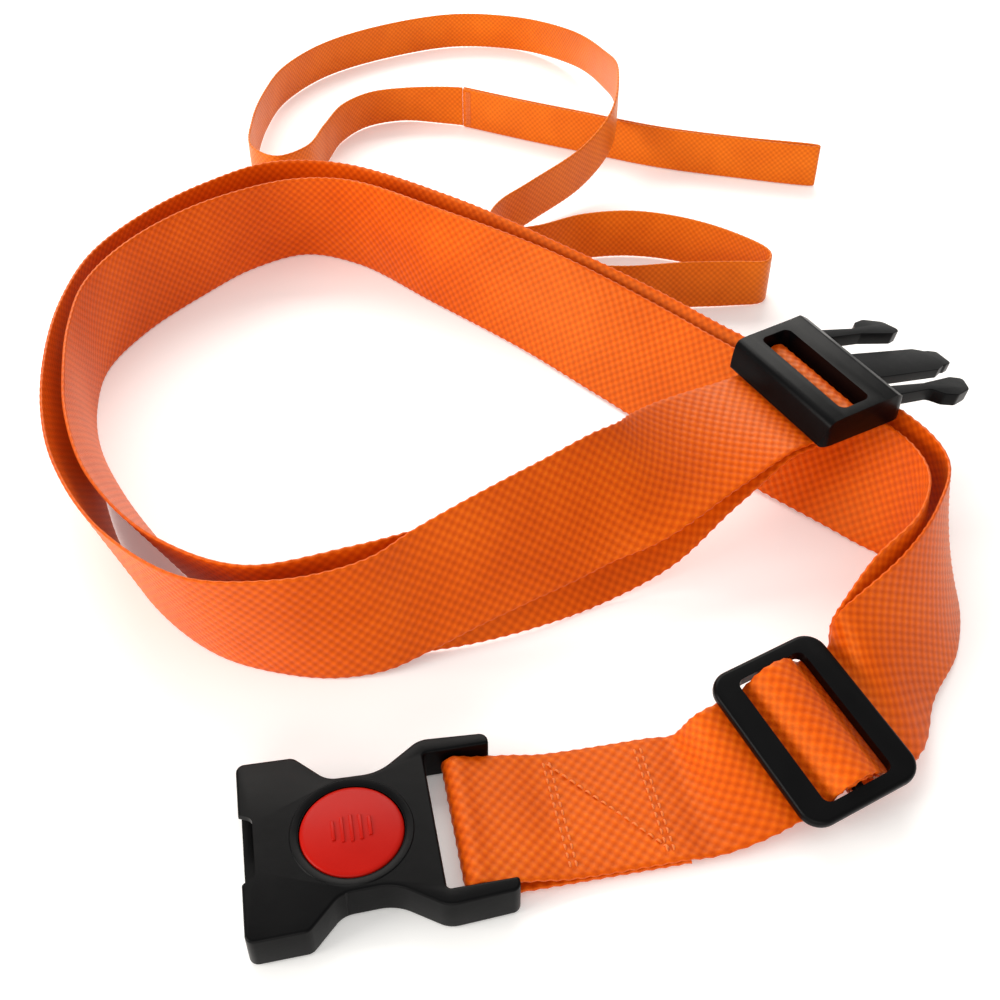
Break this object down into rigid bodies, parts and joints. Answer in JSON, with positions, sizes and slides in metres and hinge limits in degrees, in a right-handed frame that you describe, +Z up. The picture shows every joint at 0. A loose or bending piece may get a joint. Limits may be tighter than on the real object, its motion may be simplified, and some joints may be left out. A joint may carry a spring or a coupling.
{
  "type": "spine board restraint strap",
  "caption": "Coiled wide orange webbing strap with a black push-button side-release buckle, a three-bar adjuster and a narrow tether with a sewn hand loop.",
  "frame": {"origin": "on the floor under the centre of the release button, on the socket's flat base", "axes": "+X from the socket's mouth towards its webbing, +Y across the socket towards the strap's coil, +Z up"},
  "size_m": [0.4206, 0.6712, 0.0616],
  "materials": {
    "black_plastic": "fine satin texture",
    "red_plastic": "semi-gloss moulded",
    "orange_webbing": "coarse woven, slightly shiny",
    "orange_tether": "woven",
    "orange_thread": "bonded thread"
  },
  "bodies": {
    "strap": {"webbing_under_ply": "orange_webbing", "webbing_single_run": "orange_webbing", "webbing_outer_layer": "orange_webbing", "webbing_inner_layer": "orange_webbing", "webbing_glide_end": "orange_webbing", "tri_glide": "black_plastic", "socket_stitch_top": "orange_thread", "socket_stitch_under": "orange_thread", "glide_end_stitch": "orange_thread", "tether_webbing": "orange_tether", "tether_hand_loop": "orange_tether", "tether_loop_tack": "orange_thread", "tether_joint_tack": "orange_thread"},
    "socket": {"socket_housing": "black_plastic", "webbing_socket_loop": "orange_webbing"},
    "button": {"release_button": "red_plastic"},
    "male": {"male_frame": "black_plastic", "webbing_buckle_wrap": "orange_webbing"},
    "prong_left": {"prong_left": "black_plastic"},
    "prong_right": {"prong_right": "black_plastic"}
  },
  "joints": [
    {"name": "socket_swing", "type": "hinge", "parent": "strap", "child": "socket", "pos_m": [0.0576, 0, 0.0042], "axis": [0, 1, 0], "range_deg": [0, 60], "deforming": ["webbing_socket_loop"]},
    {"name": "button_press", "type": "slide", "parent": "socket", "child": "button", "axis": [0, 0, -1], "range_m": [0, 0.0025], "stiffness_N_per_m": 800},
    {"name": "male_swing", "type": "hinge", "parent": "strap", "child": "male", "pos_m": [0.18365, 0.14538, 0.04281], "axis": [0.3074, -0.9513, -0.0227], "range_deg": [0, 45], "deforming": ["webbing_buckle_wrap"]},
    {"name": "prong_left_flex", "type": "hinge", "parent": "male", "child": "prong_left", "pos_m": [0.22586, 0.18173, 0.05166], "axis": [-0.2466, -0.0566, -0.9675], "range_deg": [0, 7], "stiffness_Nm_per_rad": 2},
    {"name": "prong_right_flex", "type": "hinge", "parent": "male", "child": "prong_right", "pos_m": [0.23927, 0.14025, 0.05067], "axis": [0.2466, 0.0566, 0.9675], "range_deg": [0, 7], "stiffness_Nm_per_rad": 2}
  ]
}
